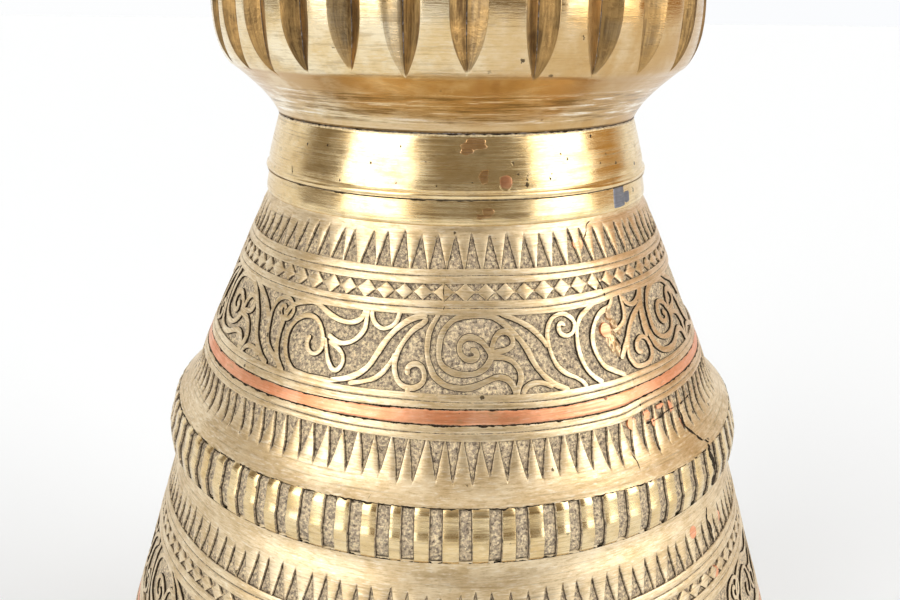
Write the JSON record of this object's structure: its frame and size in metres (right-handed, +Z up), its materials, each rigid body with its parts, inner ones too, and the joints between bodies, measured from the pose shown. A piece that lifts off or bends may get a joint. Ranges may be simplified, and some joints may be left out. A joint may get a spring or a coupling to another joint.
{
  "type": "cast brass water pot",
  "caption": "Cast brass water pot with a broad body in two banded shoulder tiers, gadrooned rings, copper inlay bands, a fluted neck knop and an open flared mouth.",
  "frame": {"origin": "centre of the foot's resting face", "axes": "+Z up along the pot's axis, -Y towards the front of the pot, where the scrolls' first repeat is centred"},
  "size_m": [0.348, 0.348, 0.52],
  "materials": {
    "brass": "worn polish, grey-brown in the hollows",
    "pale_brass": "worn polish",
    "red_brass": "worn polish, redder cast",
    "copper": "brushed",
    "tin": "dull grey, hammered in"
  },
  "bodies": {
    "root": {"foot_ring": "brass", "base_disc": "pale_brass", "lower_bowl": "brass", "belly_ring": "pale_brass", "lower_shoulder": "brass", "lower_copper_band": "copper", "waist_ring": "pale_brass", "upper_shoulder": "brass", "recast_panel": "red_brass", "upper_copper_band": "copper", "copper_plugs": "copper", "tin_plug": "tin", "neck_collar": "pale_brass", "collar_rivets": "copper", "neck_knop": "brass", "mouth_rim": "pale_brass"}
  },
  "joints": []
}
